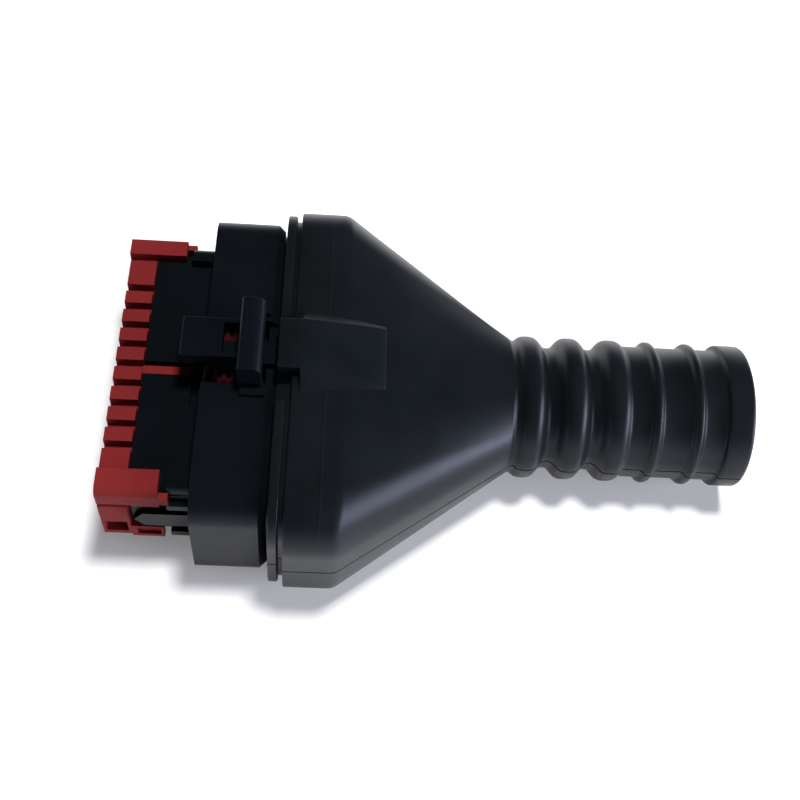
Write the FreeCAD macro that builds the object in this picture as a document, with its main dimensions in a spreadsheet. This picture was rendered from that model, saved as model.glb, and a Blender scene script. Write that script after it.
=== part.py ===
"""Sealed multi-way plug: housing with shroud, secondary lock, latch, seals, contacts and rubber boot.

Lengths are in millimetres. X runs along the mating axis, from the mating face towards the cable.
Y runs across the connector and Z points up, to the latch side. The origin is the centre of the
shroud's front rim.
"""
import FreeCAD, Part
import os
from math import cos, radians, sin

import Sketcher

Vector = FreeCAD.Vector
document = FreeCAD.newDocument("sealed_plug")
sheet = document.addObject("Spreadsheet::Sheet", "sizes")
rows_in_sheet = []


class Size:
    """A length that knows its formula, so that a feature can be tied to the sheet."""

    def __init__(self, value, formula):
        self.value = value
        self.formula = formula

    def __add__(self, other):
        return combine(self, other, "+", lambda a, b: a + b)

    def __radd__(self, other):
        return combine(other, self, "+", lambda a, b: a + b)

    def __sub__(self, other):
        return combine(self, other, "-", lambda a, b: a - b)

    def __rsub__(self, other):
        return combine(other, self, "-", lambda a, b: a - b)

    def __mul__(self, other):
        return combine(self, other, "*", lambda a, b: a * b)

    def __rmul__(self, other):
        return combine(other, self, "*", lambda a, b: a * b)

    def __truediv__(self, other):
        return combine(self, other, "/", lambda a, b: a / b)

    def __neg__(self):
        return 0 - self


def as_size(number):
    return number if isinstance(number, Size) else Size(float(number), str(float(number)))


def combine(left, right, sign, work):
    left = as_size(left)
    right = as_size(right)
    return Size(work(left.value, right.value), f"({left.formula} {sign} {right.formula})")


def size(name, amount):
    """Writes one size to the sheet, as a number or as a formula of earlier sizes, and returns it."""
    amount = as_size(amount)
    rows_in_sheet.append(name)
    row = len(rows_in_sheet)
    formula = amount.formula.replace("sizes.", "")
    sheet.set(f"A{row}", name)
    sheet.set(f"B{row}", f"={formula}")
    sheet.setAlias(f"B{row}", name)
    return Size(amount.value, f"sizes.{name}")


# Grid of positions: long rows above and below, a short row staggered between them
pitch = size("pitch", 4.0)
row_gap = size("row_gap", 4.0)
long_row = 12
short_row = 11

# Running and assembly clearances
close_fit = size("close_fit", 0.1)
contact_play = size("contact_play", 0.15)
boot_grip = size("boot_grip", 0.15)
lock_gap = size("lock_gap", 0.25)

# Nose, which carries the contacts
cavity_side = size("cavity_side", 2.5)
nose_side_wall = size("nose_side_wall", 1.35)
nose_top_wall = size("nose_top_wall", 2.5)
nose_width = size("nose_width", pitch * (long_row - 1) + cavity_side + 2 * nose_side_wall)
nose_height = size("nose_height", 2 * row_gap + cavity_side + 2 * nose_top_wall)
nose_corner = size("nose_corner", 2.0)
nose_reach = size("nose_reach", 10.8)
key_slot_width = size("key_slot_width", 2.6)
key_slot_depth = size("key_slot_depth", 1.85)
key_slot_length = size("key_slot_length", 8.4)
key_slot_shift = size("key_slot_shift", 0.7)
cross_slot_start = size("cross_slot_start", 2.2)
cross_slot_length = size("cross_slot_length", 1.4)
cross_slot_offset = size("cross_slot_offset", 3.7)
cross_slot_width = size("cross_slot_width", 4.1)
cross_slot_depth = size("cross_slot_depth", 1.2)

# Corner ridges and side ribs in front of the seal
ridge_height = size("ridge_height", 2.0)
ridge_gap = size("ridge_gap", 1.2)
ridge_stop = size("ridge_stop", 0.5)
side_step = size("side_step", 1.2)
main_rib_reach = size("main_rib_reach", 10.2)
main_rib_point = size("main_rib_point", 1.6)
main_rib_height = size("main_rib_height", 4.7)
main_rib_drop = size("main_rib_drop", 0.65)
thin_rib_height = size("thin_rib_height", 1.6)
thin_rib_rise = size("thin_rib_rise", 4.4)
low_rib_drop = size("low_rib_drop", 6.15)

# Shroud
shroud_side_room = size("shroud_side_room", 4.25)
shroud_top_room = size("shroud_top_room", 4.2)
shroud_wall = size("shroud_wall", 1.6)
shroud_width = size("shroud_width", nose_width + 2 * (shroud_side_room + shroud_wall))
shroud_height = size("shroud_height", nose_height + 2 * (shroud_top_room + shroud_wall))
shroud_corner = size("shroud_corner", 5.75)
shroud_length = size("shroud_length", 12.5)
shroud_web = size("shroud_web", 1.6)
shroud_edge = size("shroud_edge", 1.2)
latch_width = size("latch_width", 7.7)
latch_room = size("latch_room", 2.55)
cutout_width = size("cutout_width", latch_width + 2 * latch_room)
guard_ridge_length = size("guard_ridge_length", 4.3)
guard_ridge_start = size("guard_ridge_start", 6.8)
guard_ridge_width = size("guard_ridge_width", 1.4)
guard_ridge_height = size("guard_ridge_height", 0.9)
guard_ridge_offset = size("guard_ridge_offset", 1.1)

# Strap under the latch
strap_width = size("strap_width", 4.3)
strap_thickness = size("strap_thickness", 1.7)
strap_drop = size("strap_drop", 0.15)
strap_start = size("strap_start", 0.2)

# Wire seal and rear cover, one behind the other in the rear pocket
wire_seal_length = size("wire_seal_length", 4.2)
wire_hole = size("wire_hole", 1.6)
cover_plug = size("cover_plug", 2.0)
cover_flange = size("cover_flange", 1.2)
cover_inset = size("cover_inset", 0.5)
cover_hole = size("cover_hole", 2.3)

# Rear collar round that pocket, with the bead that holds the boot
pocket_side_margin = size("pocket_side_margin", 3.05)
pocket_top_margin = size("pocket_top_margin", 4.05)
pocket_width = size("pocket_width", pitch * (long_row - 1) + cavity_side + 2 * pocket_side_margin)
pocket_height = size("pocket_height", 2 * row_gap + cavity_side + 2 * pocket_top_margin)
pocket_corner = size("pocket_corner", 3.0)
pocket_depth = size("pocket_depth", close_fit + wire_seal_length + close_fit + cover_plug)
collar_side_wall = size("collar_side_wall", 2.7)
collar_top_wall = size("collar_top_wall", 2.2)
collar_width = size("collar_width", pocket_width + 2 * collar_side_wall)
collar_height = size("collar_height", pocket_height + 2 * collar_top_wall)
collar_corner = size("collar_corner", 5.0)
collar_steps = 4
bead_height = size("bead_height", 0.9)
bead_length = size("bead_length", 1.8)
bead_inset = size("bead_inset", 0.55)

# Mating seal on the nose
seal_front = size("seal_front", 0.2)
seal_length = size("seal_length", 5.8)
seal_base = size("seal_base", 0.7)
seal_end = size("seal_end", 0.225)
seal_ribs = 4
seal_rib_height = size("seal_rib_height", 0.8)
seal_rib_width = size("seal_rib_width", 0.7)
seal_rib_pitch = size("seal_rib_pitch", (seal_length - seal_rib_width - 2 * seal_end) / (seal_ribs - 1))
seal_corner_steps = 3
shoulder_height = size("shoulder_height", 0.9)

# Secondary lock
lock_thickness = size("lock_thickness", 4.85)
lock_width = size("lock_width", nose_width + 2 * side_step)
lock_drop = size("lock_drop", 0.45)
near_block_span = size("near_block_span", 4.5)
near_block_corner = size("near_block_corner", 1.6)
far_block_span = size("far_block_span", 3.6)
far_block_corner = size("far_block_corner", 0.7)
lock_edge = size("lock_edge", 0.5)
pin_hole = size("pin_hole", 1.5)
groove_width = size("groove_width", 1.45)
groove_depth = size("groove_depth", 1.0)
grooves = 9
arm_reach = size("arm_reach", 5.55)
ledge_reach = size("ledge_reach", 1.6)
ledge_height = size("ledge_height", 2.6)
arm_wall = size("arm_wall", side_step - close_fit)
upper_arm_bottom = size("upper_arm_bottom", 4.7)
lower_arm_top = size("lower_arm_top", 3.7)
window_height = size("window_height", 3.7)
window_length = size("window_length", lock_thickness - 2 * lock_edge)
window_depth = size("window_depth", 1.4)
window_drop = size("window_drop", 3.9)
key_width = size("key_width", 1.6)
key_height = size("key_height", 1.0)
key_length = size("key_length", 8.2)

# Latch
latch_reach = size("latch_reach", 3.5)
latch_thickness = size("latch_thickness", 2.3)
latch_rise = size("latch_rise", 4.65)
latch_window_length = size("latch_window_length", 2.7)
latch_window_width = size("latch_window_width", 5.8)
hook_depth = size("hook_depth", 1.1)
pivot_place = size("pivot_place", 1.6)
pivot_radius = size("pivot_radius", 0.9)
thumb_start = size("thumb_start", 6.2)
thumb_length = size("thumb_length", 4.2)
thumb_width = size("thumb_width", 14.4)
thumb_rise = size("thumb_rise", 1.9)
thumb_drop = size("thumb_drop", 0.9)
thumb_edge = size("thumb_edge", 0.9)

# Contacts
contact_inset = size("contact_inset", 0.8)
contact_room = size("contact_room", 3.6)
socket_length = size("socket_length", 9.0)
socket_bore = size("socket_bore", 1.4)
socket_floor = size("socket_floor", 1.5)

# Boot
boot_gap = size("boot_gap", 0.4)
boot_wall = size("boot_wall", 2.0)
lip_length = size("lip_length", 1.7)
lip_side = size("lip_side", 4.25)
lip_rise = size("lip_rise", 3.0)
lip_width = size("lip_width", collar_width + 2 * lip_side)
lip_height = size("lip_height", collar_height + 2 * lip_rise)
lip_corner = size("lip_corner", collar_corner + lip_rise)
neck_length = size("neck_length", 0.9)
neck_side = size("neck_side", 3.15)
neck_rise = size("neck_rise", 1.95)
neck_width = size("neck_width", collar_width + 2 * neck_side)
neck_height = size("neck_height", collar_height + 2 * neck_rise)
neck_corner = size("neck_corner", collar_corner + neck_rise)
body_length = size("body_length", 8.7)
body_side = size("body_side", 5.45)
body_rise = size("body_rise", 3.15)
body_round = size("body_round", 4.05)
body_width = size("body_width", collar_width + 2 * body_side)
body_height = size("body_height", collar_height + 2 * body_rise)
body_corner = size("body_corner", collar_corner + body_round)
taper_length = size("taper_length", 30.8)
bore_radius = size("bore_radius", 9.6)
tube_wall = size("tube_wall", 2.45)
rib_height = size("rib_height", 1.0)
valley_depth = size("valley_depth", 0.95)
taper_end_rise = size("taper_end_rise", 0.35)
tube_radius = size("tube_radius", bore_radius + tube_wall)
rib_radius = size("rib_radius", tube_radius + rib_height)
valley_radius = size("valley_radius", tube_radius - valley_depth)
taper_radius = size("taper_radius", tube_radius + taper_end_rise)
taper_steps = 6
inner_steps = 3
round_flat = size("round_flat", 0.06)
big_rib_half = size("big_rib_half", 2.9)
big_rib_crest = size("big_rib_crest", 1.2)
big_rib_start = size("big_rib_start", 0.1)
valley_length = size("valley_length", 1.95)
big_rib_place = size("big_rib_place", big_rib_start + big_rib_half)
big_rib_pitch = size("big_rib_pitch", 2 * big_rib_half + valley_length)
thin_rib_half = size("thin_rib_half", 0.7)
thin_rib_room = size("thin_rib_room", 6.95)
thin_rib_place = size("thin_rib_place", big_rib_place + 2 * big_rib_pitch + thin_rib_room)
thin_rib_pitch = size("thin_rib_pitch", 7.5)
plain_end = size("plain_end", 4.55)
end_collar = size("end_collar", 4.7)
collar_edge = size("collar_edge", 0.9)
thin_rib_end = thin_rib_place + thin_rib_pitch + thin_rib_half
tube_length = size("tube_length", thin_rib_end + plain_end + end_collar)
hood_top = size("hood_top", 2.85)
hood_width = size("hood_width", 9.8)
hood_foot = size("hood_foot", 16.6)
hood_end_rise = size("hood_end_rise", 0.35)
hood_end_width = size("hood_end_width", 11.4)
hood_end_foot = size("hood_end_foot", 14.0)
hood_length = size("hood_length", 14.6)
hood_sink = size("hood_sink", 1.6)
notch_width = size("notch_width", 4.4)
notch_skin = size("notch_skin", 0.85)

# Stations along X that several pieces share
gap_floor = shroud_length - shroud_web
lock_back = -nose_reach - lock_gap
lock_front = lock_back - lock_thickness
arm_end = lock_back + arm_reach
ridge_start = arm_end + ridge_gap
lip_front = shroud_length + boot_gap
neck_front = lip_front + lip_length
body_front = neck_front + neck_length
body_back = body_front + body_length
taper_back = body_back + taper_length
tube_back = taper_back + tube_length
bead_front = body_front + boot_grip
collar_back = bead_front + bead_length + bead_inset
pocket_floor = collar_back - pocket_depth

# Heights that several pieces share
shroud_top = shroud_height / 2
nose_top = nose_height / 2
nose_side = nose_width / 2
ridge_top = nose_top + ridge_height
lock_side = lock_width / 2
ridge_inner = lock_side - near_block_span
strap_top = shroud_top - strap_drop
latch_top = shroud_top + latch_rise
latch_bottom = latch_top - latch_thickness
thumb_top = latch_top + thumb_rise
thumb_bottom = latch_bottom - thumb_drop
pivot_height = strap_top + pivot_radius
tube_height = rib_radius - body_height / 2


def tie(thing, name, amount):
    """Binds one property to the sheet."""
    thing.setExpression(name, as_size(amount).formula)


def new_body(name):
    body = document.addObject("PartDesign::Body", name)
    body.Label = name
    return body


def origin_part(body, role):
    return next(feature for feature in body.Origin.OriginFeatures if feature.Role == role)


def numbered(body, word):
    return f"{body.Name}_{word}_{len(body.Group)}"


def arc_between(start, end, radius):
    """The shorter arc that turns left on its way from start to end."""
    chord = end - start
    rise = max(radius * radius - chord.Length * chord.Length / 4, 0.0) ** 0.5
    side = Vector(-chord.y, chord.x, 0).normalize()
    centre = (start + end) / 2 + side * rise
    circle = Part.Circle(centre, Vector(0, 0, 1), radius)
    return Part.ArcOfCircle(circle, circle.parameter(start), circle.parameter(end))


def outline(body, role, corners, offset=0, shift_across=0, shift_up=0):
    """A closed sketch, anticlockwise. A corner with a third value is reached by an arc of that radius."""
    sketch = body.newObject("Sketcher::SketchObject", numbered(body, "outline"))
    sketch.AttachmentSupport = (origin_part(body, role), [""])
    sketch.MapMode = "FlatFace"
    tie(sketch, "AttachmentOffset.Base.x", shift_across)
    tie(sketch, "AttachmentOffset.Base.y", shift_up)
    tie(sketch, "AttachmentOffset.Base.z", offset)
    corners = [[as_size(value) for value in corner] for corner in corners]
    points = [Vector(corner[0].value, corner[1].value, 0) for corner in corners]
    edges = []
    for index, corner in enumerate(corners):
        start = points[index - 1]
        if len(corner) == 3:
            edges.append(arc_between(start, points[index], corner[2].value))
        else:
            edges.append(Part.LineSegment(start, points[index]))
    sketch.addGeometry(edges)
    rules = []
    formulas = []
    for index, corner in enumerate(corners):
        rules.append(Sketcher.Constraint("Coincident", index, 2, (index + 1) % len(corners), 1))
        for kind, value in zip(("DistanceX", "DistanceY"), corner):
            formulas.append((len(rules), value.formula))
            rules.append(Sketcher.Constraint(kind, -1, 1, index, 2, value.value))
        if len(corner) == 3:
            formulas.append((len(rules), corner[2].formula))
            rules.append(Sketcher.Constraint("Radius", index, corner[2].value))
    sketch.addConstraint(rules)
    for index, formula in formulas:
        sketch.setExpression(f"Constraints[{index}]", formula)
    return sketch


def rectangle(left, right, low, high):
    return [(left, low), (right, low), (right, high), (left, high)]


def stepped(width, height, radius, steps):
    """The same rectangle with each corner in flat steps, for tapers and for pieces that stay hidden."""
    turns = [radians(90 * step / steps) for step in range(steps + 1)]
    flat = width / 2 - radius
    upright = height / 2 - radius
    corners = [(flat + sin(turn) * radius, -upright - cos(turn) * radius) for turn in turns]
    corners += [(flat + cos(turn) * radius, upright + sin(turn) * radius) for turn in turns]
    corners += [(-flat - sin(turn) * radius, upright + cos(turn) * radius) for turn in turns]
    corners += [(-flat - cos(turn) * radius, -upright - sin(turn) * radius) for turn in turns]
    return corners


def rounded(width, height, radius):
    """Corners of a rectangle about the axis, with its corners rounded."""
    side = width / 2
    top = height / 2
    flat = side - radius
    upright = top - radius
    return [(flat, -top), (side, -upright, radius), (side, upright), (flat, top, radius),
            (-flat, top), (-side, upright, radius), (-side, -upright), (-flat, -top, radius)]


def finish(body, feature):
    body.Tip = feature
    return feature


def pad(body, sketch, length, both_ways=False):
    feature = body.newObject("PartDesign::Pad", numbered(body, "pad"))
    feature.Profile = sketch
    feature.Midplane = both_ways
    tie(feature, "Length", length)
    return finish(body, feature)


def pocket(body, sketch, length, both_ways=False):
    """Cuts towards the sketch's positive side, or both ways from it."""
    feature = body.newObject("PartDesign::Pocket", numbered(body, "pocket"))
    feature.Profile = sketch
    feature.Midplane = both_ways
    feature.Reversed = not both_ways
    tie(feature, "Length", length)
    return finish(body, feature)


def repeat(body, original, axis, step, count, backwards=False):
    feature = body.newObject("PartDesign::LinearPattern", numbered(body, "row"))
    feature.Originals = [original]
    feature.Direction = (origin_part(body, axis), [""])
    feature.Reversed = backwards
    tie(feature, "Length", step * (count - 1))
    feature.Occurrences = count
    return finish(body, feature)


def mirror(body, original, role):
    feature = body.newObject("PartDesign::Mirrored", numbered(body, "mirror"))
    feature.Originals = [original]
    feature.MirrorPlane = (origin_part(body, role), [""])
    return finish(body, feature)


def row_places():
    """Height, number of positions and first position of each row, from the top."""
    return [(row_gap, long_row, -pitch * (long_row - 1) / 2),
            (0, short_row, -pitch * (short_row - 1) / 2),
            (-row_gap, long_row, -pitch * (long_row - 1) / 2)]


def pierce_rows(body, side, start, length):
    """Cuts a square hole at each position, from start along X."""
    half = side / 2
    for height, count, first in row_places():
        square = rectangle(first - half, first + half, height - half, height + half)
        hole = pocket(body, outline(body, "YZ_Plane", square, start), length)
        repeat(body, hole, "Y_Axis", pitch, count)


def build_housing():
    """One moulding: shroud, nose with its cavities, rear collar and the strap under the latch."""
    body = new_body("plug_housing")
    shroud = outline(body, "YZ_Plane", rounded(shroud_width, shroud_height, shroud_corner))
    soften_rear_rim(body, pad(body, shroud, shroud_length))
    inside = rounded(shroud_width - 2 * shroud_wall, shroud_height - 2 * shroud_wall,
                     shroud_corner - shroud_wall)
    pocket(body, outline(body, "YZ_Plane", inside), gap_floor)
    cut_latch_opening(body)

    nose = rounded(nose_width, nose_height, nose_corner)
    pad(body, outline(body, "YZ_Plane", nose, -nose_reach), pocket_floor + nose_reach)
    shoulder = stepped(nose_width + 2 * shoulder_height, nose_height + 2 * shoulder_height,
                       nose_corner + shoulder_height, seal_corner_steps)
    shoulder_front = seal_length - seal_front + close_fit
    pad(body, outline(body, "YZ_Plane", shoulder, shoulder_front), shroud_length - shoulder_front)
    add_nose_ribs(body)
    add_strap(body)
    add_collar(body)
    pierce_rows(body, cavity_side, -nose_reach, pocket_floor + nose_reach)
    cut_nose_slots(body)


def soften_rear_rim(body, shell):
    """A broad bevel round the rear rim."""
    document.recompute()
    rear = [f"Edge{index}" for index, edge in enumerate(shell.Shape.Edges, 1)
            if edge.BoundBox.XMin > shroud_length.value / 2]
    rim = body.newObject("PartDesign::Chamfer", "rear_rim")
    rim.Base = (shell, rear)
    tie(rim, "Size", shroud_edge)
    finish(body, rim)


def cut_latch_opening(body):
    """The latch works in a gap in the shroud's top wall, with a low guard ridge on either side."""
    half = cutout_width / 2
    gap = rectangle(0, shroud_length, -half, half)
    pocket(body, outline(body, "XY_Plane", gap, shroud_top - shroud_wall), shroud_wall + 1)
    near = half + guard_ridge_offset
    ridge = rectangle(guard_ridge_start, guard_ridge_start + guard_ridge_length,
                      near, near + guard_ridge_width)
    root = shroud_wall / 2
    raised = pad(body, outline(body, "XY_Plane", ridge, shroud_top - root), guard_ridge_height + root)
    mirror(body, raised, "XZ_Plane")


def add_nose_ribs(body):
    """Corner ridges above and ribs on both sides, which run back to the seal."""
    root = nose_corner / 2
    length = -ridge_stop - ridge_start
    ridge = [(ridge_inner, nose_top - root), (nose_side, nose_top - root),
             (nose_side, ridge_top - nose_corner), (nose_side - nose_corner, ridge_top, nose_corner),
             (ridge_inner, ridge_top)]
    mirror(body, pad(body, outline(body, "YZ_Plane", ridge, ridge_start), length), "XZ_Plane")
    for height in (thin_rib_rise, -low_rib_drop):
        rib = rectangle(nose_side - root, lock_side,
                        height - thin_rib_height / 2, height + thin_rib_height / 2)
        mirror(body, pad(body, outline(body, "YZ_Plane", rib, ridge_start), length), "XZ_Plane")
    top = main_rib_height / 2 - main_rib_drop
    bottom = -main_rib_height / 2 - main_rib_drop
    shoulder = -main_rib_reach + main_rib_point
    pointed = [(shoulder, bottom), (-ridge_stop, bottom), (-ridge_stop, top), (shoulder, top),
               (-main_rib_reach, -main_rib_drop)]
    side = outline(body, "XZ_Plane", pointed, nose_side - root)
    mirror(body, pad(body, side, lock_side - nose_side + root), "XZ_Plane")


def add_strap(body):
    """The strap that carries the latch, with a shallow seat for the latch's pivot bead."""
    under = strap_top - strap_thickness
    root = under - shroud_web / 2
    profile = [(gap_floor, root), (shroud_length, root), (shroud_length, strap_top),
               (strap_start, strap_top), (strap_start, under), (gap_floor, under)]
    pad(body, outline(body, "XZ_Plane", profile), strap_width, both_ways=True)
    seat = pivot_radius + close_fit
    bead = bead_profile(seat, pivot_height)
    pocket(body, outline(body, "XZ_Plane", bead), strap_width + 1, both_ways=True)


def bead_profile(radius, top):
    """A round-bottomed profile about the latch's pivot."""
    return [(pivot_place, pivot_height - radius, radius), (pivot_place + radius, pivot_height, radius),
            (pivot_place + radius, top + radius / 2), (pivot_place - radius, top + radius / 2),
            (pivot_place - radius, pivot_height)]


def add_collar(body):
    """The rear collar with the bead that holds the boot, and the pocket for seal and cover."""
    collar = stepped(collar_width, collar_height, collar_corner, collar_steps)
    pad(body, outline(body, "YZ_Plane", collar, shroud_length), collar_back - shroud_length)
    bead = stepped(collar_width + 2 * bead_height, collar_height + 2 * bead_height,
                   collar_corner + bead_height, collar_steps)
    pad(body, outline(body, "YZ_Plane", bead, bead_front), bead_length)
    inside = stepped(pocket_width, pocket_height, pocket_corner, 1)
    pocket(body, outline(body, "YZ_Plane", inside, pocket_floor), pocket_depth)


def cut_nose_slots(body):
    """A long slot for the lock's key and a short cross slot in front of the seal."""
    key = rectangle(-nose_reach, -nose_reach + key_slot_length,
                    -key_slot_shift - key_slot_width / 2, -key_slot_shift + key_slot_width / 2)
    pocket(body, outline(body, "XY_Plane", key, nose_top - key_slot_depth), key_slot_depth + 1)
    cross = rectangle(-cross_slot_start, -cross_slot_start + cross_slot_length,
                      -cross_slot_offset - cross_slot_width, -cross_slot_offset)
    pocket(body, outline(body, "XY_Plane", cross, nose_top - cross_slot_depth), cross_slot_depth + 1)


def build_lock():
    """The secondary lock: a ridged front plate with pin holes, and arms that straddle the nose."""
    body = new_body("wedge_lock")
    plate = rounded(lock_width, nose_height, near_block_corner)
    pad(body, outline(body, "YZ_Plane", plate, lock_front), lock_thickness)
    add_end_blocks(body, far_block_span, far_block_corner, far=True)
    add_end_blocks(body, near_block_span, near_block_corner, far=False)

    inside = nose_side + close_fit
    depth = arm_end - lock_back
    lower = rectangle(inside, lock_side, -nose_top, -lower_arm_top)
    mirror(body, pad(body, outline(body, "YZ_Plane", lower, lock_back), depth), "XZ_Plane")
    ledge = rectangle(inside, lock_side, ridge_top - near_block_corner - ledge_height,
                      ridge_top - near_block_corner)
    mirror(body, pad(body, outline(body, "YZ_Plane", ledge, lock_back), depth + ledge_reach), "XZ_Plane")

    key = rectangle(-key_slot_shift - key_width / 2, -key_slot_shift + key_width / 2,
                    nose_top - key_slot_depth + close_fit,
                    nose_top - key_slot_depth + close_fit + key_height)
    pad(body, outline(body, "YZ_Plane", key, lock_back), key_length)

    cut_lock_windows(body)
    for face in (-nose_top, nose_top - groove_depth):
        first = -pitch * (grooves - 1) / 2 - groove_width / 2
        groove = rectangle(first, first + groove_width, face, face + groove_depth)
        channel = pocket(body, outline(body, "YZ_Plane", groove, lock_front), lock_thickness)
        repeat(body, channel, "Y_Axis", pitch, grooves)
    pierce_rows(body, pin_hole, lock_front, lock_thickness)


def add_end_blocks(body, span, corner, far):
    """The raised block at one end of the front plate, and the arm that runs back from it."""
    inner = lock_side - span
    inside = nose_side + close_fit
    foot = -nose_top - lock_drop
    above = nose_top + close_fit
    flat = lock_side - corner
    crown = [(lock_side, ridge_top - corner), (flat, ridge_top, corner), (inner, ridge_top)]
    block = [(inner, foot), (flat, foot), (lock_side, foot + corner, corner)] + crown
    arm = [(inner, above), (inside, above), (inside, upper_arm_bottom),
           (lock_side, upper_arm_bottom)] + crown
    if not far:
        block = flipped(block)
        arm = flipped(arm)
    pad(body, outline(body, "YZ_Plane", block, lock_front), lock_thickness)
    pad(body, outline(body, "YZ_Plane", arm, lock_back), arm_end - lock_back)


def flipped(corners):
    """The same outline on the other side of the axis."""
    order = range(len(corners) - 1, -1, -1)
    return [(-corners[index][0], corners[index][1], *corners[(index + 1) % len(corners)][2:])
            for index in order]


def cut_lock_windows(body):
    """Sunk windows in the ends of the front plate and in the lower arms."""
    window = rectangle(lock_front + lock_edge, lock_front + lock_edge + window_length,
                       -window_drop - window_height / 2, -window_drop + window_height / 2)
    sunk = outline(body, "XZ_Plane", window, lock_side - window_depth)
    mirror(body, pocket(body, sunk, window_depth), "XZ_Plane")
    panel = rectangle(lock_back + 2 * lock_edge, arm_end - lock_edge,
                      -nose_top + 2 * lock_edge, -lower_arm_top - lock_edge)
    sunk = outline(body, "XZ_Plane", panel, lock_side - arm_wall / 2)
    mirror(body, pocket(body, sunk, arm_wall / 2), "XZ_Plane")


def build_latch():
    """The latch: an arm with its hook and window, the pivot web below and the thumb bar behind."""
    body = new_body("latch_lever")
    tip = -latch_reach
    hook = tip + hook_depth
    hook_bottom = latch_bottom - hook_depth
    overlap = thumb_start + thumb_edge
    arm = [(hook, hook_bottom), (hook + hook_depth, hook_bottom), (hook + hook_depth, latch_bottom),
           (overlap, latch_bottom), (overlap, latch_top), (tip, latch_top), (tip, latch_bottom)]
    pad(body, outline(body, "XZ_Plane", arm), latch_width, both_ways=True)
    thumb_back = thumb_start + thumb_length
    back_edge = 2 * thumb_edge
    thumb = [(thumb_start, thumb_bottom), (thumb_back, thumb_bottom),
             (thumb_back, thumb_top - back_edge), (thumb_back - back_edge, thumb_top, back_edge),
             (thumb_start + thumb_edge, thumb_top), (thumb_start, thumb_top - thumb_edge, thumb_edge)]
    pad(body, outline(body, "XZ_Plane", thumb), thumb_width, both_ways=True)
    web = bead_profile(pivot_radius, latch_bottom)
    pad(body, outline(body, "XZ_Plane", web), strap_width, both_ways=True)
    window = rectangle(thumb_start - latch_window_length, thumb_start,
                       -latch_window_width / 2, latch_window_width / 2)
    pocket(body, outline(body, "XY_Plane", window, latch_bottom - 1), latch_thickness + 2)


def build_mating_seal():
    """The ribbed seal that sits round the nose."""
    body = new_body("mating_seal")
    inner = 2 * close_fit
    base = stepped(nose_width + inner + 2 * seal_base, nose_height + inner + 2 * seal_base,
                   nose_corner + close_fit + seal_base, seal_corner_steps)
    pad(body, outline(body, "YZ_Plane", base, -seal_front), seal_length)
    tall = seal_base + seal_rib_height
    ring = stepped(nose_width + inner + 2 * tall, nose_height + inner + 2 * tall,
                   nose_corner + close_fit + tall, seal_corner_steps)
    rib = pad(body, outline(body, "YZ_Plane", ring, seal_end - seal_front), seal_rib_width)
    repeat(body, rib, "X_Axis", seal_rib_pitch, seal_ribs)
    bore = rounded(nose_width + inner, nose_height + inner, nose_corner + close_fit)
    pocket(body, outline(body, "YZ_Plane", bore, -seal_front), seal_length)


def build_wire_seal():
    body = new_body("wire_seal")
    mat = stepped(pocket_width - 2 * close_fit, pocket_height - 2 * close_fit, pocket_corner, 1)
    start = pocket_floor + close_fit
    pad(body, outline(body, "YZ_Plane", mat, start), wire_seal_length)
    pierce_rows(body, wire_hole, start, wire_seal_length)


def build_rear_cover():
    """The cap behind the wire seal: a plug in the pocket and a flange against the collar."""
    body = new_body("rear_cover")
    plug = stepped(pocket_width - 2 * close_fit, pocket_height - 2 * close_fit, pocket_corner, 1)
    start = pocket_floor + close_fit + wire_seal_length + close_fit
    pad(body, outline(body, "YZ_Plane", plug, start), collar_back - start + cover_flange / 2)
    flange = stepped(collar_width - 2 * cover_inset, collar_height - 2 * cover_inset,
                     collar_corner, collar_steps)
    pad(body, outline(body, "YZ_Plane", flange, collar_back), cover_flange)
    pierce_rows(body, cover_hole, start, collar_back + cover_flange - start)


def build_boot():
    """The rubber boot: mouth, body, taper and ribbed tube, hollow all the way through."""
    body = new_body("boot")
    pad(body, outline(body, "YZ_Plane", rounded(body_width, body_height, body_corner), body_front),
        body_length)
    taper(body, "Additive", (body_width, body_height, body_corner), taper_radius, taper_steps)
    add_tube(body)
    pad(body, outline(body, "YZ_Plane", rounded(neck_width, neck_height, neck_corner), neck_front),
        neck_length)
    pad(body, outline(body, "YZ_Plane", rounded(lip_width, lip_height, lip_corner), lip_front),
        lip_length)
    cut_lip_notch(body)
    add_hood(body)
    hollow_boot(body)


def taper(body, kind, front, end_radius, steps):
    """From a rounded rectangle to a round end: flat sides as wedges, corners as lofts in flat steps."""
    width, height, corner = front
    flat = width / 2 - corner
    upright = height / 2 - corner
    wedge(body, kind, flat, height / 2, round_flat, end_radius)
    wedge(body, kind, width / 2, upright, end_radius, round_flat)
    for across, up in ((1, 1), (-1, 1), (-1, -1), (1, -1)):
        first = sector(across, up, flat, upright, corner, steps)
        last = sector(across, up, round_flat, round_flat, end_radius - round_flat, steps)
        loft(body, f"{kind}Loft", first, body_back, last, taper_back, tube_height)


def loft(body, kind, first, start, last, end, end_height=0):
    feature = body.newObject(f"PartDesign::{kind}", numbered(body, "loft"))
    feature.Ruled = True
    feature.Profile = outline(body, "YZ_Plane", first, start)
    feature.Sections = [(outline(body, "YZ_Plane", last, end, shift_up=end_height), [""])]
    return finish(body, feature)


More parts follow.
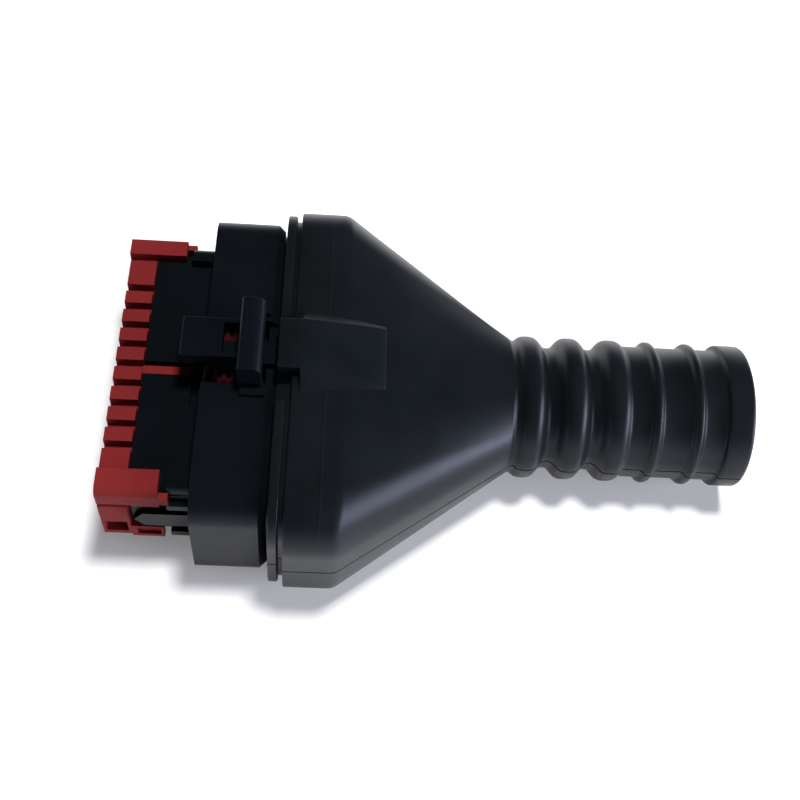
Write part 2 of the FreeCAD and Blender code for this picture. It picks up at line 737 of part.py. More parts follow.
def wedge(body, kind, half_width, half_height, end_width, end_height):
    """A block along X that narrows from one rectangle to another, given by their half sizes."""
    feature = body.newObject(f"PartDesign::{kind}Wedge", numbered(body, "wedge"))
    feature.AttachmentSupport = (origin_part(body, "XY_Plane"), [""])
    feature.MapMode = "FlatFace"
    feature.AttachmentOffset = FreeCAD.Placement(Vector(), FreeCAD.Rotation(Vector(0, 0, 1), -90))
    for name, amount in (("Ymin", body_back), ("Ymax", taper_back),
                         ("Xmin", -half_width), ("Xmax", half_width),
                         ("Zmin", -half_height), ("Zmax", half_height),
                         ("X2min", -end_width), ("X2max", end_width),
                         ("Z2min", tube_height - end_height), ("Z2max", tube_height + end_height)):
        tie(feature, name, amount)
    return finish(body, feature)


def sector(across, up, flat, upright, radius, steps):
    """A quarter of a round corner in flat steps, as a closed outline from its centre."""
    turns = [radians(90 * step / steps) for step in range(steps + 1)]
    arc = [(across * (flat + cos(turn) * radius), up * (upright + sin(turn) * radius)) for turn in turns]
    corners = [(across * flat, up * upright)] + arc
    return corners if across * up > 0 else corners[::-1]


def add_tube(body):
    """Three full ribs, two thin ribs and the end collar, turned about the tube's axis."""
    corners = [(taper_back, 0), (tube_back, 0), (tube_back, tube_radius),
               (tube_back - collar_edge, rib_radius), (tube_back - end_collar, rib_radius),
               (tube_back - end_collar, tube_radius)]
    for index in (1, 0):
        middle = taper_back + thin_rib_place + index * thin_rib_pitch
        corners += [(middle + thin_rib_half, tube_radius), (middle + thin_rib_half, rib_radius),
                    (middle - thin_rib_half, rib_radius), (middle - thin_rib_half, tube_radius)]
    for index in (2, 1, 0):
        middle = taper_back + big_rib_place + index * big_rib_pitch
        behind = valley_radius if index < 2 else tube_radius
        before = valley_radius if index > 0 else taper_radius
        corners += [(middle + big_rib_half, behind), (middle + big_rib_crest, rib_radius),
                    (middle - big_rib_crest, rib_radius), (middle - big_rib_half, before)]
    corners.append((taper_back, taper_radius))
    feature = body.newObject("PartDesign::Revolution", numbered(body, "tube"))
    feature.Profile = outline(body, "XZ_Plane", corners, shift_up=tube_height)
    feature.ReferenceAxis = (feature.Profile[0], ["H_Axis"])
    feature.Angle = 360
    finish(body, feature)


def cut_lip_notch(body):
    """A notch in the lip and neck, beside the hood on the near side."""
    notch = rectangle(lip_front, body_front, -hood_width / 2 - notch_width, -hood_width / 2)
    floor = collar_height / 2 + boot_grip + notch_skin
    pocket(body, outline(body, "XY_Plane", notch, floor), lip_height / 2 - floor + 1)


def add_hood(body):
    """The raised hood that covers the latch's end, sloping down to the taper."""
    base = body_height / 2 - hood_sink
    crest = body_height / 2 + hood_top
    front = rectangle(-hood_width / 2, hood_width / 2, base, crest)
    reach = body_front + hood_sink - lip_front
    pad(body, outline(body, "YZ_Plane", front, lip_front), reach)
    start = lip_front + reach
    wide = trapezium(hood_foot, hood_width, base, crest, hood_sink)
    low = trapezium(hood_end_foot, hood_end_width, base - hood_end_rise * 2,
                    body_height / 2 - hood_end_rise, hood_sink)
    loft(body, "AdditiveLoft", wide, start, low, start + hood_length)


def trapezium(foot, top, low, high, skirt):
    """A flat-topped section with sloping sides, on a skirt that sinks into the boot."""
    return [(-foot / 2, low), (foot / 2, low), (foot / 2, low + skirt), (top / 2, high),
            (-top / 2, high), (-foot / 2, low + skirt)]


def hollow_boot(body):
    mouth = stepped(collar_width + 2 * boot_grip, collar_height + 2 * boot_grip,
                    collar_corner + boot_grip, collar_steps)
    pocket(body, outline(body, "YZ_Plane", mouth, lip_front), body_front - lip_front)
    inner = (body_width - 2 * boot_wall, body_height - 2 * boot_wall, body_corner - boot_wall)
    pocket(body, outline(body, "YZ_Plane", stepped(*inner, inner_steps), body_front), body_length)
    taper(body, "Subtractive", inner, bore_radius, inner_steps)
    feature = body.newObject("PartDesign::Groove", numbered(body, "bore"))
    feature.Profile = outline(body, "XZ_Plane", rectangle(taper_back, tube_back, 0, bore_radius),
                              shift_up=tube_height)
    feature.ReferenceAxis = (feature.Profile[0], ["H_Axis"])
    feature.Angle = 360
    finish(body, feature)


def build_contacts():
    """A socket contact in each cavity: square socket in front, crimp barrel behind."""
    first_contact = None
    for letter, (height, count, first) in zip("abc", row_places()):
        for index in range(count):
            name = f"contact_{letter}{index + 1:02d}"
            if first_contact is None:
                body = first_contact = one_contact(name)
            else:
                body = document.addObject("PartDesign::Body", name)
                body.Label = name
                copy = document.addObject("PartDesign::FeatureBase", f"{name}_shape")
                copy.BaseFeature = first_contact
                body.Group = [copy]
                body.Tip = copy
            tie(body, "Placement.Base.y", first + index * pitch)
            tie(body, "Placement.Base.z", height)


def one_contact(name):
    body = new_body(name)
    half = cavity_side / 2 - contact_play
    front = contact_inset - nose_reach
    back = pocket_floor - contact_room
    step = front + socket_length
    side = [(front, -half), (back, -half), (back, 0), (step, 0), (step, half), (front, half)]
    pad(body, outline(body, "XZ_Plane", side), 2 * half, both_ways=True)
    bore = rectangle(-socket_bore / 2, socket_bore / 2, -socket_bore / 2, socket_bore / 2)
    pocket(body, outline(body, "YZ_Plane", bore, front), socket_length - socket_floor)
    return body


def check_and_write():
    document.recompute()
    for thing in document.Objects:
        if "Invalid" in thing.State or "Error" in thing.State:
            raise RuntimeError(f"{thing.Name} did not build")
    bodies = [thing for thing in document.Objects if thing.TypeId == "PartDesign::Body"]
    for body in bodies:
        shape = body.Shape
        if shape.isNull() or not shape.isValid() or len(shape.Solids) != 1:
            raise RuntimeError(f"{body.Label} is not one sound solid")
    os.makedirs("parts", exist_ok=True)
    for body in bodies:
        body.Shape.exportStep(f"parts/{body.Label}.step")
    print(len(bodies), "pieces written")


build_housing()
build_lock()
build_latch()
build_mating_seal()
build_wire_seal()
build_rear_cover()
build_boot()
build_contacts()
check_and_write()
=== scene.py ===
"""Looks of the sealed plug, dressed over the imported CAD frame. Lengths are in metres, and those
written in millimetres are multiplied by MM."""
import math

import bmesh
import bpy
from mathutils import Matrix, Vector


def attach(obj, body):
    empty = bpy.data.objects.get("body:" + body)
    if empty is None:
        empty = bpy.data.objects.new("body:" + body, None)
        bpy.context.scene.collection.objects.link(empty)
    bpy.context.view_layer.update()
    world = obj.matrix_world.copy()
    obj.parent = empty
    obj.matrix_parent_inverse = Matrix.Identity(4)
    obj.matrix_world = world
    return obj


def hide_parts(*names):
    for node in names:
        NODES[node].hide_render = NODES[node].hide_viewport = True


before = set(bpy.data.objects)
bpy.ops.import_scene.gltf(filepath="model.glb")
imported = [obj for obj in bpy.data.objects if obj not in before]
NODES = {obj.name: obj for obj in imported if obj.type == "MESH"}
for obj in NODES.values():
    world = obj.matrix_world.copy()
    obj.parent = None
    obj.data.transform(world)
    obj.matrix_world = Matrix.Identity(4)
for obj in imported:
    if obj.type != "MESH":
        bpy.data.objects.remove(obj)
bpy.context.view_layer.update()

MM = 0.001
SCENE = bpy.context.scene


# Shader node helpers

def map_range(tree, value, source, target, interpolation="LINEAR"):
    """The value carried over from the source range to the target range."""
    node = tree.nodes.new("ShaderNodeMapRange")
    node.interpolation_type = interpolation
    node.inputs["From Min"].default_value, node.inputs["From Max"].default_value = source
    node.inputs["To Min"].default_value, node.inputs["To Max"].default_value = target
    tree.links.new(value, node.inputs["Value"])
    return node.outputs["Result"]


def joined(tree, operation, first, second):
    """Two values joined by a math operation."""
    node = tree.nodes.new("ShaderNodeMath")
    node.operation = operation
    tree.links.new(first, node.inputs[0])
    tree.links.new(second, node.inputs[1])
    return node.outputs[0]


def noise(tree, coords, scale, detail):
    node = tree.nodes.new("ShaderNodeTexNoise")
    node.inputs["Scale"].default_value = scale
    node.inputs["Detail"].default_value = detail
    tree.links.new(coords, node.inputs["Vector"])
    return node.outputs["Fac"]


# Materials

NOISE_RANGE = (0.3, 0.7)
PATCH_SCALE, PATCH_DETAIL = 90, 4
GLOSS_SCALE, GLOSS_DETAIL, GLOSS_SPREAD = 260, 5, 0.02
GRAIN_DETAIL, GRAIN_STRENGTH = 3, 0.3
# Where the Mix node keeps its factor, its two colours and their mixture
MIX_FACTOR, MIX_FIRST, MIX_SECOND, MIX_RESULT = 0, 6, 7, 2
# The tint of the reflections on what is black
COOL = (0.80, 0.82, 1.0)


def colour(red, green, blue):
    """A colour given as it looks on screen, from 0 to 255, as the linear values that nodes use."""
    def linear(value):
        value /= 255
        return value / 12.92 if value <= 0.04045 else ((value + 0.055) / 1.055) ** 2.4
    return linear(red), linear(green), linear(blue), 1.0


def moulded(name, base, second, roughness, grain, grain_depth, specular=0.5, metallic=0.0,
            tint=(1, 1, 1)):
    """Moulded plastic or rubber: two shades in soft patches, uneven gloss and a fine grain."""
    material = bpy.data.materials.new(name)
    material.use_nodes = True
    tree = material.node_tree
    shader = tree.nodes["Principled BSDF"]
    coords = tree.nodes.new("ShaderNodeTexCoord").outputs["Object"]
    mix = tree.nodes.new("ShaderNodeMix")
    mix.data_type = "RGBA"
    mix.inputs[MIX_FIRST].default_value = base
    mix.inputs[MIX_SECOND].default_value = second
    patches = noise(tree, coords, PATCH_SCALE, PATCH_DETAIL)
    tree.links.new(map_range(tree, patches, NOISE_RANGE, (0, 1)), mix.inputs[MIX_FACTOR])
    tree.links.new(mix.outputs[MIX_RESULT], shader.inputs["Base Color"])
    gloss = noise(tree, coords, GLOSS_SCALE, GLOSS_DETAIL)
    gloss_range = (roughness - GLOSS_SPREAD, roughness + GLOSS_SPREAD)
    tree.links.new(map_range(tree, gloss, NOISE_RANGE, gloss_range), shader.inputs["Roughness"])
    bump = tree.nodes.new("ShaderNodeBump")
    bump.inputs["Strength"].default_value = GRAIN_STRENGTH
    bump.inputs["Distance"].default_value = grain_depth
    tree.links.new(noise(tree, coords, grain, GRAIN_DETAIL), bump.inputs["Height"])
    tree.links.new(bump.outputs["Normal"], shader.inputs["Normal"])
    shader.inputs["Specular IOR Level"].default_value = specular
    shader.inputs["Specular Tint"].default_value = (*tint, 1)
    shader.inputs["Metallic"].default_value = metallic
    return material


BLACK = moulded("black_plastic", colour(11, 15, 18), colour(15, 19, 23), roughness=0.34,
                grain=2600, grain_depth=0.03 * MM, specular=0.09, tint=COOL)
RED = moulded("red_plastic", colour(122, 39, 41), colour(130, 42, 43), roughness=0.45,
              grain=2600, grain_depth=0.03 * MM, specular=0.03)
# The seal's base colour is its red silicone darkened further: painted shade for the dim space
# inside the shroud where it sits.
SEAL_RED_AND_PAINTED_SHADE = moulded("red_silicone_and_painted_shade", colour(54, 14, 17), colour(64, 18, 20), roughness=0.50,
               grain=1800, grain_depth=0.02 * MM, specular=0.25)
BOOT = moulded("boot_rubber", colour(15, 19, 21), colour(22, 26, 29), roughness=0.36,
               grain=2200, grain_depth=0.04 * MM, specular=0.18, tint=COOL)
METAL = moulded("contact_metal", colour(196, 160, 92), colour(214, 182, 120), roughness=0.28,
                grain=1500, grain_depth=0.01 * MM, metallic=1.0)

# The nodes that aren't named here are the contacts
LOOKS = {"plug_housing": BLACK, "latch_lever": BLACK, "rear_cover": BLACK, "wedge_lock": RED,
         "mating_seal": SEAL_RED_AND_PAINTED_SHADE, "wire_seal": SEAL_RED_AND_PAINTED_SHADE, "boot": BOOT}
for node_name, node in NODES.items():
    node.data.materials.clear()
    node.data.materials.append(LOOKS.get(node_name, METAL))


# Shared mesh helpers

def new_mesh(name, work):
    mesh = bpy.data.meshes.new(name)
    work.to_mesh(mesh)
    work.free()
    return mesh


def add_object(name, mesh, material, body):
    thing = bpy.data.objects.new(name, mesh)
    SCENE.collection.objects.link(thing)
    mesh.materials.clear()
    mesh.materials.append(material)
    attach(thing, body)
    return thing


def smooth(mesh, degrees):
    """Smooth shading, with edges sharper than the angle kept crisp."""
    for face in mesh.polygons:
        face.use_smooth = True
    mesh.set_sharp_from_angle(angle=math.radians(degrees))


def add_bevel(thing, width, segments, degrees):
    """Rounds the edges that are sharper than the angle."""
    bevel = thing.modifiers.new("edges", "BEVEL")
    bevel.width = width
    bevel.segments = segments
    bevel.limit_method = "ANGLE"
    bevel.angle_limit = math.radians(degrees)
    return bevel


def apply_modifiers(thing):
    depsgraph = bpy.context.evaluated_depsgraph_get()
    final = bpy.data.meshes.new_from_object(thing.evaluated_get(depsgraph))
    thing.modifiers.clear()
    thing.data = final


def bridge(work, first, second):
    """Faces from one closed ring of points to the next."""
    count = len(first)
    for k in range(count):
        after = (k + 1) % count
        work.faces.new((first[k], first[after], second[after], second[k]))


# The mouldings: copies of CAD nodes with rounded edges

WELD_DISTANCE = 0.002 * MM
# In degrees: faces that meet at less than the first are joined into one, edges sharper than the
# second are rounded, and edges sharper than the third are crisp before that
FLAT_ANGLE, ROUNDED_ANGLE, CRISP_ANGLE = 1, 32, 34
# The grooves of the lock's front, in mm: where they are, and how high their floors lie in the CAD
# node and here
GROOVES_BACK, GROOVES_HALF_WIDTH = -11, 18
NODE_FLOOR, DEEP_FLOOR, FLOOR_MARGIN = 6.75, 5.7, 0.05
# The box that cuts the groove in the lock's side, in mm
CUTTER_MIDDLE, CUTTER_SIZE = (-13.0, -25.8, 4.6), (6, 0.7, 0.7)


def deepen_grooves(work):
    """Cuts the grooves of the lock's front deeper, down to 2 mm."""
    for vert in work.verts:
        x, y, z = vert.co / MM
        on_front = x < GROOVES_BACK and abs(y) < GROOVES_HALF_WIDTH
        if on_front and abs(abs(z) - NODE_FLOOR) < FLOOR_MARGIN:
            vert.co.z = math.copysign(DEEP_FLOOR, z) * MM


def cut_side_groove(thing):
    """Adds the cut of the fine groove along the outer side of the lock's near end, made by a box
    that stands on its edge. Gives the box, to be removed once the cut is applied."""
    turn = Matrix.Rotation(math.radians(45), 4, "X")
    place = Matrix.Translation(Vector(CUTTER_MIDDLE) * MM)
    size = Matrix.Diagonal((*(side * MM for side in CUTTER_SIZE), 1))
    work = bmesh.new()
    bmesh.ops.create_cube(work, size=1, matrix=place @ turn @ size)
    cutter = bpy.data.objects.new("cutter", new_mesh("cutter", work))
    SCENE.collection.objects.link(cutter)
    cut = thing.modifiers.new("groove", "BOOLEAN")
    cut.operation = "DIFFERENCE"
    cut.object = cutter
    return cutter


def bevelled_copy(name, node_name, body, width, segments=2, reshape=None, groove=None):
    """A moulded stand-in for a CAD node: the same shape with every sharp edge slightly rounded.
    reshape moves points of the copy first, and groove adds a cut to it."""
    work = bmesh.new()
    work.from_mesh(NODES[node_name].data)
    bmesh.ops.remove_doubles(work, verts=work.verts, dist=WELD_DISTANCE)
    if reshape:
        reshape(work)
        bmesh.ops.remove_doubles(work, verts=work.verts, dist=WELD_DISTANCE)
    bmesh.ops.dissolve_limit(work, angle_limit=math.radians(FLAT_ANGLE), verts=work.verts,
                             edges=work.edges)
    mesh = new_mesh(name, work)
    smooth(mesh, CRISP_ANGLE)
    thing = add_object(name, mesh, LOOKS[node_name], body)
    cutter = groove(thing) if groove else None
    add_bevel(thing, width, segments, ROUNDED_ANGLE).harden_normals = True
    apply_modifiers(thing)
    if cutter:
        bpy.data.objects.remove(cutter)
    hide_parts(node_name)


# The boot: one skin of rings along X, from the mouth over the outside and back through the inside.
# Its sizes are in mm.

LIP_FRONT, LIP_BACK, BODY_FRONT, BODY_BACK = 12.9, 14.6, 15.5, 24.2
LINE_X, LINE_HALF_WIDTH = 21.25, 0.25
TAPER_BACK = 55.0
TAPER_OUTER_BACK, TAPER_END_RADIUS, TAPER_END_TOP = TAPER_BACK - 0.1, 12.35, 12.5
TUBE_BACK, TUBE_Z, BORE_RADIUS = 97.9, -1.6, 9.6
COLLAR_FOOT, COLLAR_FRONT, COLLAR_RADIUS, COLLAR_SOFTNESS = 93.0, 93.4, 13.05, 0.8
# Where the ribs' middles are, and half a rib as distances from its middle with the radius there
BIG_RIBS = (58.0, 65.75, 73.5)
BIG_RIB = ((0, 13.05), (0.6, 13.04), (1.0, 12.97), (1.4, 12.80), (1.8, 12.50), (2.15, 12.12),
           (2.5, 11.70), (2.8, 11.38), (3.1, 11.17), (3.45, 11.07), (3.875, 11.05))
THIN_RIBS = (80.45, 87.95)
THIN_RIB = ((0, 13.05), (0.3, 13.03), (0.6, 12.85), (0.85, 12.45), (1.1, 12.15), (1.4, 12.05))
SLEEVE_RADIUS = THIN_RIB[-1][1]
FIRST_RIB_FLOOR = 12.15
# Stations left out at a rib's start: in the taper's end, or shared with the rib before
SKIP_FIRST, SKIP_OTHERS = 3, 1
RING_POINTS = 256
# The seam: its depth, and how far the points beside the middle of a side are from it
SEAM_DEPTH = 0.22
SEAM_STEPS = {-2: -0.6, -1: -0.17, 0: 0.0, 1: 0.17, 2: 0.6}
# How the corners of the run of rings are rounded: the usual reach, the number of steps, the
# greatest share of the way to the next station, and the least length of that way
SOFT_REACH, SOFT_STEPS, SOFT_SHARE, SHORTEST = 0.35, 4, 0.48, 1e-6
# The recess in the lip and the neck, beside the hood
NOTCH_Y, NOTCH_Z, NOTCH_MARGIN = (-9.3, -4.9), 12.5, 0.02
BOOT_CRISP_ANGLE = 50


def ring_shape(half_width, half_height, corner, height=0.0):
    """A rounded rectangle across X. The height is that of its middle."""
    return half_width, half_height, corner, height


MOUTH = ring_shape(29.15, 11.65, 5.15)
LIP = ring_shape(33.25, 14.5, 8.0)
NECK = ring_shape(32.15, 13.45, 7.0)
BODY = ring_shape(34.45, 14.65, 9.05)
LINE = ring_shape(34.45, 14.68, 9.05, 0.03)
ROOM = ring_shape(32.45, 12.65, 7.05)


def round_ring(radius):
    return ring_shape(radius, radius, radius, TUBE_Z)


def soften(stations):
    """Rounds each corner of a run of stations, a list of (x, ring, reach). A reach of None is the
    usual one, and 0 leaves the corner as it is."""
    places = [Vector((x, *ring)) for x, ring, reach in stations]
    run = []
    for index, here in enumerate(places):
        reach = stations[index][2]
        if index in (0, len(places) - 1) or reach == 0:
            run.append(here)
            continue
        reach = SOFT_REACH if reach is None else reach
        ends = []
        for way in (places[index - 1] - here, places[index + 1] - here):
            length = max(abs(way[0]), abs(way[1]), abs(way[2]), SHORTEST)
            ends.append(here + way * min(reach / length, SOFT_SHARE))
        for step in range(SOFT_STEPS + 1):
            t = step / SOFT_STEPS
            run.append(ends[0] * (1 - t) ** 2 + here * 2 * t * (1 - t) + ends[1] * t ** 2)
    return run


def ring_points(half_width, half_height, corner, height):
    """Points round a rounded rectangle from the middle of its top, towards +Y, with a fine
    V-shaped seam at the middle of each side."""
    corner = min(corner, half_width, half_height)
    flat = half_width - corner
    upright = half_height - corner
    quarter = math.pi * corner / 2
    lengths = [flat, quarter, 2 * upright, quarter, 2 * flat, quarter, 2 * upright, quarter, flat]
    total = sum(lengths)
    points = []
    for index in range(RING_POINTS):
        rest = total * index / RING_POINTS
        inward = 0
        for middle in (RING_POINTS // 4, 3 * RING_POINTS // 4):
            if index - middle in SEAM_STEPS:
                rest = total * middle / RING_POINTS + SEAM_STEPS[index - middle]
                inward = SEAM_DEPTH if index == middle else 0
        part = 0
        while rest > lengths[part] and part < len(lengths) - 1:
            rest -= lengths[part]
            part += 1
        turn = rest / corner
        if part == 0:
            y, z = rest, half_height
        elif part == 1:
            y, z = flat + math.sin(turn) * corner, upright + math.cos(turn) * corner
        elif part == 2:
            y, z = half_width, upright - rest
        elif part == 3:
            y, z = flat + math.cos(turn) * corner, -upright - math.sin(turn) * corner
        elif part == 4:
            y, z = flat - rest, -half_height
        elif part == 5:
            y, z = -flat - math.sin(turn) * corner, -upright - math.cos(turn) * corner
        elif part == 6:
            y, z = -half_width, -upright + rest
        elif part == 7:
            y, z = -flat - math.cos(turn) * corner, upright + math.sin(turn) * corner
        else:
            y, z = -flat + rest, half_height
        y -= math.copysign(inward, y)
        points.append((y, z + height))
    return points


def rib_run(middle, profile, floor_before, floor_after):
    """Stations over one rib, from its half profile, no lower than the floor on either side."""
    before = [(middle - reach, max(radius, floor_before)) for reach, radius in profile[:0:-1]]
    after = [(middle + reach, max(radius, floor_after)) for reach, radius in profile]
    return [(x, round_ring(radius), 0) for x, radius in before + after]


def tube_stations():
    """The sleeve: three full ribs, two thin ribs and the end collar."""
    run = []
    for middle in BIG_RIBS:
        is_first, is_last = middle == BIG_RIBS[0], middle == BIG_RIBS[-1]
        rib = rib_run(middle, BIG_RIB, FIRST_RIB_FLOOR if is_first else 0,
                      SLEEVE_RADIUS if is_last else 0)
        run += rib[SKIP_FIRST if is_first else SKIP_OTHERS:]
    for middle in THIN_RIBS:
        run += rib_run(middle, THIN_RIB, SLEEVE_RADIUS, SLEEVE_RADIUS)
    run.append((COLLAR_FOOT, round_ring(SLEEVE_RADIUS), None))
    run.append((COLLAR_FRONT, round_ring(COLLAR_RADIUS), None))
    run.append((TUBE_BACK, round_ring(COLLAR_RADIUS), COLLAR_SOFTNESS))
    return run


def build_boot():
    """The skin over the stations, each of which is x, a ring and the reach of its rounding."""
    outside = [(LIP_FRONT, MOUTH, None), (LIP_FRONT, LIP, None), (LIP_BACK, LIP, None),
               (LIP_BACK, NECK, 0.15), (BODY_FRONT, NECK, 0.15), (BODY_FRONT, BODY, None),
               (LINE_X - LINE_HALF_WIDTH, BODY, 0.02), (LINE_X, LINE, 0.02),
               (LINE_X + LINE_HALF_WIDTH, BODY, 0.02), (BODY_BACK, BODY, 0.9),
               (TAPER_OUTER_BACK, round_ring(TAPER_END_RADIUS), 0.5)]
    inside = [(TUBE_BACK, round_ring(BORE_RADIUS), 0.3), (TAPER_BACK, round_ring(BORE_RADIUS), 2.0),
              (BODY_BACK, ROOM, 2.0), (BODY_FRONT, ROOM, 0.3), (BODY_FRONT, MOUTH, 0.2),
              (LIP_FRONT, MOUTH, 0)]
    rings = []
    for x, *ring in soften(outside + tube_stations() + inside):
        points = ring_points(*ring)
        if x < BODY_FRONT - NOTCH_MARGIN:
            points = [(y, min(z, NOTCH_Z) if NOTCH_Y[0] < y < NOTCH_Y[1] else z) for y, z in points]
        rings.append([Vector((x, y, z)) * MM for y, z in points])
    rings.pop()  # the last ring is the first again
    work = bmesh.new()
    grid = [[work.verts.new(point) for point in ring] for ring in rings]
    for here, there in zip(grid, grid[1:] + grid[:1]):
        bridge(work, here, there)
    bmesh.ops.recalc_face_normals(work, faces=work.faces)
    mesh = new_mesh("boot_skin", work)
    smooth(mesh, BOOT_CRISP_ANGLE)
    boot = add_object("boot_skin", mesh, BOOT, "housing")
    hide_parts("boot")


# The hood behind the latch. Its sections, in mm, give x, half the width of the crest and of the
# foot, and the heights of the crest and of the base.
HOOD_SECTIONS = ((12.9, 4.9, 4.9, 17.5, 12.3), (16.6, 4.9, 4.9, 17.5, 13.0),
                 (17.0, 4.95, 8.3, 17.45, 13.6), (22.0, 5.15, 7.9, 16.45, 13.4),
                 (27.0, 5.4, 7.4, 15.3, 13.0), (31.6, 5.7, 6.5, 13.8, 12.6))
HOOD_FOOT_HEIGHT = 1.0
HOOD_BEVEL, HOOD_BEVEL_SEGMENTS = 0.45 * MM, 3
HOOD_ROUNDED_ANGLE, HOOD_CRISP_ANGLE = 15, 40


def taper_top(x):
    """Height of the boot's top along the middle."""
    if x <= BODY_BACK:
        return BODY[1]
    share = (x - BODY_BACK) / (TAPER_BACK - BODY_BACK)
    return BODY[1] + (TAPER_END_TOP + TUBE_Z - BODY[1]) * share


def build_hood():
    """The raised hood: a flat crest, upright sides at the front and sloping ones behind."""
    work = bmesh.new()
    rows = []
    for x, top, foot, crest, base in HOOD_SECTIONS:
        low = min(base, taper_top(x) - HOOD_FOOT_HEIGHT)
        high = low + HOOD_FOOT_HEIGHT
        rows.append([work.verts.new(Vector(p) * MM) for p in
                     ((x, -foot, low), (x, -foot, high), (x, -top, crest), (x, top, crest),
                      (x, foot, high), (x, foot, low))])
    for first, second in zip(rows, rows[1:]):
        bridge(work, first, second)
    work.faces.new(rows[0][::-1])
    work.faces.new(rows[-1])
    bmesh.ops.recalc_face_normals(work, faces=work.faces)
    hood = add_object("boot_hood", new_mesh("boot_hood", work), BOOT, "housing")
    add_bevel(hood, HOOD_BEVEL, HOOD_BEVEL_SEGMENTS, HOOD_ROUNDED_ANGLE)
    apply_modifiers(hood)
    smooth(hood.data, HOOD_CRISP_ANGLE)


build_boot()
build_hood()
bevelled_copy("housing_moulding", "plug_housing", "housing", width=0.14 * MM)
bevelled_copy("latch_moulding", "latch_lever", "latch", width=0.32 * MM, segments=3)
bevelled_copy("lock_moulding", "wedge_lock", "lock", width=0.2 * MM, segments=3,
              reshape=deepen_grooves, groove=cut_side_groove)
bevelled_copy("seal_moulding", "mating_seal", "housing", width=0.2 * MM, segments=3)


# Floor, light and camera

FLOOR_Z = -14.65 * MM
FLOOR_SIZE = 6.0
FLOOR_SHADE, FLOOR_ROUGHNESS = 0.85, 0.9
# The object's footprint on the floor, and how the floor's glow grows with the distance from it
FOOTPRINT_MIDDLE, FOOTPRINT_HALF = (0.041, 0, 0), (0.057, 0.0345, 0)
GLOW_DISTANCES, GLOW_STRENGTHS = (0.003, 0.018), (0.17, 1.0)
WORLD_COLOUR = (0.84, 0.86, 1, 1)
# The bright area of the world: the direction of its middle, and how the strength grows with the
# cosine of the angle to it
WINDOW_SIDE = Vector((0.955, -0.29, 0.05)).normalized()
WINDOW_COSINES, WINDOW_STRENGTHS = (0.86, 0.99), (0.04, 18.0)
# The white lower part of the world, and how it fades as the direction rises
WHITE_HEIGHTS, WHITE_STRENGTHS = (0.08, 0.32), (1.2, 0)
LAMP_PLACE, LAMP_TARGET = (0.115, 0.06, 0.78), (0.035, 0, 0)
LAMP_SIZE, LAMP_POWER = 0.13, 5.8


def seen_rays(tree):
    """1 for rays from the camera and for those in reflections and through clear pieces, else 0."""
    path = tree.nodes.new("ShaderNodeLightPath")
    seen = path.outputs["Is Camera Ray"]
    for other in ("Is Glossy Ray", "Is Transmission Ray"):
        seen = joined(tree, "MAXIMUM", seen, path.outputs[other])
    return seen


def build_floor():
    """A pale floor. To the camera, and in reflections, it glows: a little round the object, so that
    it reads white and keeps the shadow, and fully farther out, as a white background."""
    mesh = bpy.data.meshes.new("floor")
    half = FLOOR_SIZE / 2
    mesh.from_pydata([(-half, -half, FLOOR_Z), (half, -half, FLOOR_Z),
                      (half, half, FLOOR_Z), (-half, half, FLOOR_Z)], [], [(0, 1, 2, 3)])
    floor = bpy.data.objects.new("floor", mesh)
    SCENE.collection.objects.link(floor)
    material = bpy.data.materials.new("floor")
    material.use_nodes = True
    tree = material.node_tree
    shader = tree.nodes["Principled BSDF"]
    shader.inputs["Base Color"].default_value = (FLOOR_SHADE, FLOOR_SHADE, FLOOR_SHADE, 1)
    shader.inputs["Roughness"].default_value = FLOOR_ROUGHNESS
    shader.inputs["Specular IOR Level"].default_value = 0
    shader.inputs["Emission Color"].default_value = (1, 1, 1, 1)
    # The distance outside the footprint, a rectangle
    distance = tree.nodes.new("ShaderNodeTexCoord").outputs["Object"]
    for operation, amount in (("SUBTRACT", FOOTPRINT_MIDDLE), ("MULTIPLY", (1, 1, 0)),
                              ("ABSOLUTE", None), ("SUBTRACT", FOOTPRINT_HALF),
                              ("MAXIMUM", (0, 0, 0)), ("LENGTH", None)):
        step = tree.nodes.new("ShaderNodeVectorMath")
        step.operation = operation
        tree.links.new(distance, step.inputs[0])
        if amount:
            step.inputs[1].default_value = amount
        distance = step.outputs["Value" if operation == "LENGTH" else "Vector"]
    glow = map_range(tree, distance, GLOW_DISTANCES, GLOW_STRENGTHS, "SMOOTHSTEP")
    strength = joined(tree, "MULTIPLY", seen_rays(tree), glow)
    tree.links.new(strength, shader.inputs["Emission Strength"])
    mesh.materials.append(material)


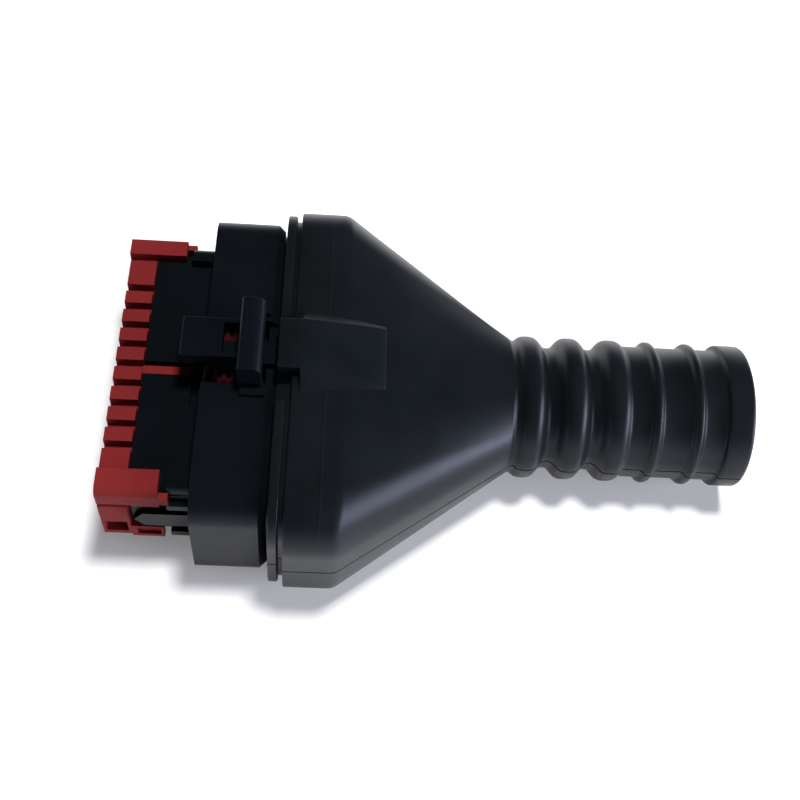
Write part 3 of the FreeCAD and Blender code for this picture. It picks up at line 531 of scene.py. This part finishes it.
def build_world():
    """A dim room with one soft bright area low at the right. To the camera, and in reflections, the
    world's lower part is white, as the background."""
    world = bpy.data.worlds.new("studio")
    SCENE.world = world
    world.use_nodes = True
    tree = world.node_tree
    background = tree.nodes["Background"]
    background.inputs["Color"].default_value = WORLD_COLOUR
    direction = tree.nodes.new("ShaderNodeTexCoord").outputs["Generated"]
    facing = tree.nodes.new("ShaderNodeVectorMath")
    facing.operation = "DOT_PRODUCT"
    facing.inputs[1].default_value = WINDOW_SIDE
    tree.links.new(direction, facing.inputs[0])
    window = map_range(tree, facing.outputs["Value"], WINDOW_COSINES, WINDOW_STRENGTHS,
                       "SMOOTHSTEP")
    parts = tree.nodes.new("ShaderNodeSeparateXYZ")
    tree.links.new(direction, parts.inputs[0])
    white = map_range(tree, parts.outputs["Z"], WHITE_HEIGHTS, WHITE_STRENGTHS, "SMOOTHSTEP")
    strength = joined(tree, "MAXIMUM", window, joined(tree, "MULTIPLY", white, seen_rays(tree)))
    tree.links.new(strength, background.inputs["Strength"])


def build_lamp():
    """The lamp above, which makes the drop shadow. Reflections don't show it."""
    light = bpy.data.lights.new("top_softbox", "AREA")
    light.shape = "DISK"
    light.size = LAMP_SIZE
    light.energy = LAMP_POWER
    lamp = bpy.data.objects.new("top_softbox", light)
    lamp.location = LAMP_PLACE
    aim = Vector(LAMP_TARGET) - Vector(LAMP_PLACE)
    lamp.rotation_euler = aim.to_track_quat("-Z", "Y").to_euler()
    lamp.visible_glossy = False
    SCENE.collection.objects.link(lamp)


# The camera, as fitted to the photograph: its place, where its axes point, and its frame
CAMERA_PLACE = Vector((20.98, -110.33, 198.42)) * MM
CAMERA_RIGHT = Vector((0.99710, 0.01012, 0.07545))
CAMERA_FORWARD = Vector((0.05787, 0.54306, -0.83769))
IMAGE_PIXELS = 800
FOCAL_PIXELS = 1235
CENTRE_PIXEL = (399.1, 313.1)
SENSOR_MM = 36
CLIP_START = 0.01


def build_camera():
    camera = bpy.data.cameras.new("camera")
    camera.sensor_width = SENSOR_MM
    camera.sensor_fit = "HORIZONTAL"
    camera.lens = FOCAL_PIXELS / IMAGE_PIXELS * SENSOR_MM
    camera.shift_x = (IMAGE_PIXELS / 2 - CENTRE_PIXEL[0]) / IMAGE_PIXELS
    camera.shift_y = (CENTRE_PIXEL[1] - IMAGE_PIXELS / 2) / IMAGE_PIXELS
    camera.clip_start = CLIP_START
    forward = CAMERA_FORWARD.normalized()
    right = (CAMERA_RIGHT - forward * CAMERA_RIGHT.dot(forward)).normalized()
    up = right.cross(forward)
    turn = Matrix((right, up, -forward)).transposed()
    thing = bpy.data.objects.new("camera", camera)
    thing.matrix_world = Matrix.Translation(CAMERA_PLACE) @ turn.to_4x4()
    SCENE.collection.objects.link(thing)
    SCENE.camera = thing


build_floor()
build_world()
build_lamp()
build_camera()
SCENE.view_settings.view_transform = "Standard"
